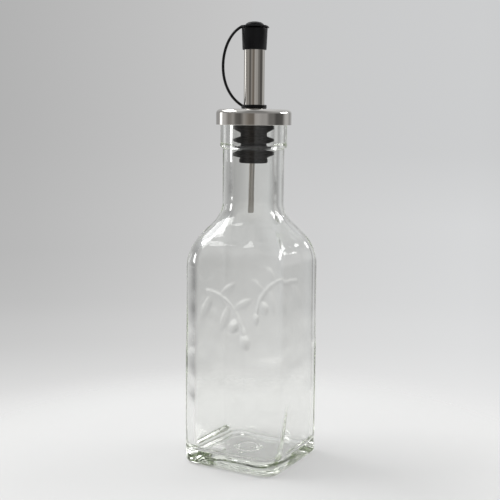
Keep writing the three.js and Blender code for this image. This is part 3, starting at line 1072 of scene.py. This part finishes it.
def round_and_up(nodes, links):
    """Two values from 0 to 1 for a direction: how far round it lies, and how high.

    The first starts behind the object, and the camera's side lies at its middle.
    """
    place = nodes.new("ShaderNodeTexCoord")
    facing = nodes.new("ShaderNodeMapping")
    facing.vector_type = "POINT"
    facing.inputs["Rotation"].default_value = (0, 0, math.pi / 2 - CAMERA_TURN)
    links.new(place.outputs["Generated"], facing.inputs["Vector"])
    turn = nodes.new("ShaderNodeTexGradient")
    turn.gradient_type = "RADIAL"
    links.new(facing.outputs["Vector"], turn.inputs["Vector"])
    parts = nodes.new("ShaderNodeSeparateXYZ")
    links.new(place.outputs["Generated"], parts.inputs["Vector"])
    spread = nodes.new("ShaderNodeMapRange")
    spread.inputs["From Min"].default_value = -1
    links.new(parts.outputs["Z"], spread.inputs["Value"])
    return turn.outputs["Fac"], spread.outputs["Result"]


def world():
    """A soft grey room: uneven at eye level, pale below, and light overhead except in front."""
    room = bpy.data.worlds.new("studio")
    bpy.context.scene.world = room
    room.use_nodes = True
    nodes, links = room.node_tree.nodes, room.node_tree.links
    nodes.clear()
    turn, lift = round_and_up(nodes, links)
    tables = (EYE_LEVEL, AROUND, OVERHEAD)
    level, around, overhead = (by_turn(nodes, links, turn, table) for table in tables)
    walls = mixed(nodes, links, by_height(nodes, links, lift, OFF_LEVEL), level, around)
    floor_tone = (FLOOR_TONE, FLOOR_TONE, FLOOR_TONE * 0.995, 1)
    lower = mixed(nodes, links, by_height(nodes, links, lift, TOWARDS_FLOOR), walls, floor_tone)
    whole = mixed(nodes, links, by_height(nodes, links, lift, TOWARDS_CEILING), lower, overhead)
    light = nodes.new("ShaderNodeBackground")
    links.new(whole, light.inputs["Color"])
    output = nodes.new("ShaderNodeOutputWorld")
    links.new(light.outputs["Background"], output.inputs["Surface"])


SOFTBOX_DISTANCE = 3.0  # in metres
SOFTBOX_AIM = np.array([0, 0, 0.1])  # the middle of the dispenser, in metres


def softbox(name, asides, ups, radiance):
    """A softbox that faces the bottle and fills the space between two angles aside and two up.

    Aside is counted to the right from the camera's side, and up from level, both in degrees.
    """
    turn = CAMERA_TURN + math.radians(sum(asides) / 2)
    lift = math.radians(sum(ups) / 2)
    width = 2 * SOFTBOX_DISTANCE * math.tan(math.radians(asides[1] - asides[0]) / 2)
    height = 2 * SOFTBOX_DISTANCE * math.tan(math.radians(ups[1] - ups[0]) / 2)
    back = np.array([math.sin(turn) * math.cos(lift), -math.cos(turn) * math.cos(lift), math.sin(lift)])
    across = np.array([math.cos(turn), math.sin(turn), 0])
    axes = Matrix((across, np.cross(back, across), back)).transposed()
    data = bpy.data.lights.new(name, "AREA")
    data.shape = "RECTANGLE"
    data.size, data.size_y = width, height
    data.energy = radiance * math.pi * width * height
    lamp = bpy.data.objects.new(name, data)
    bpy.context.scene.collection.objects.link(lamp)
    lamp.matrix_world = Matrix.Translation(back * SOFTBOX_DISTANCE + SOFTBOX_AIM) @ axes.to_4x4()
    lamp.visible_camera = False


def lights():
    """Three windows, all a little behind the bottle.

    One is high on the left, a weak narrow one is low under it, and one is low on the right.
    """
    softbox("window_left", (-133, -87.5), (33, 58), 4.7)
    softbox("window_foot", (-125, -112), (-1.3, 14), 1.5)
    softbox("window_right", (92, 126), (13, 25), 6)


def camera():
    """The camera at the photo's viewing angle."""
    ahead = np.array([-math.sin(CAMERA_TURN), math.cos(CAMERA_TURN), 0])
    right = np.array([math.cos(CAMERA_TURN), math.sin(CAMERA_TURN), 0])
    place = -ahead * CAMERA_DISTANCE + right * CAMERA_ASIDE + np.array([0, 0, CAMERA_HEIGHT])
    forward = ahead * math.cos(CAMERA_PITCH) - np.array([0, 0, math.sin(CAMERA_PITCH)])
    upward = np.cross(right, forward)
    axes = Matrix((right, upward, -forward)).transposed() @ Matrix.Rotation(CAMERA_ROLL, 3, "Z")
    data = bpy.data.cameras.new("camera")
    data.lens = CAMERA_LENS
    data.sensor_width = 36
    data.clip_start, data.clip_end = 0.01, 20
    viewer = bpy.data.objects.new("camera", data)
    bpy.context.scene.collection.objects.link(viewer)
    viewer.matrix_world = Matrix.Translation(place * MM) @ axes.to_4x4()
    bpy.context.scene.camera = viewer


def light_paths():
    """Enough bounces for light that is led along inside the thick heel to come out again."""
    scene = bpy.context.scene
    scene.cycles.max_bounces = LIGHT_BOUNCES
    scene.cycles.transmission_bounces = LIGHT_BOUNCES
    scene.cycles.glossy_bounces = LIGHT_BOUNCES
    scene.cycles.transparent_max_bounces = 16
    scene.view_settings.view_transform = "Standard"


def build():
    """The dispenser, piece by piece, and the studio round it."""
    tube, cap = tube_steel(), cap_rubber()
    bottle(glass())
    stopper(stopper_rubber())
    collar(collar_steel())
    spout_tube(tube)
    air_tube(tube)
    spout_cap(cap)
    tether(cap)
    floor()
    world()
    lights()
    camera()
    light_paths()


build()
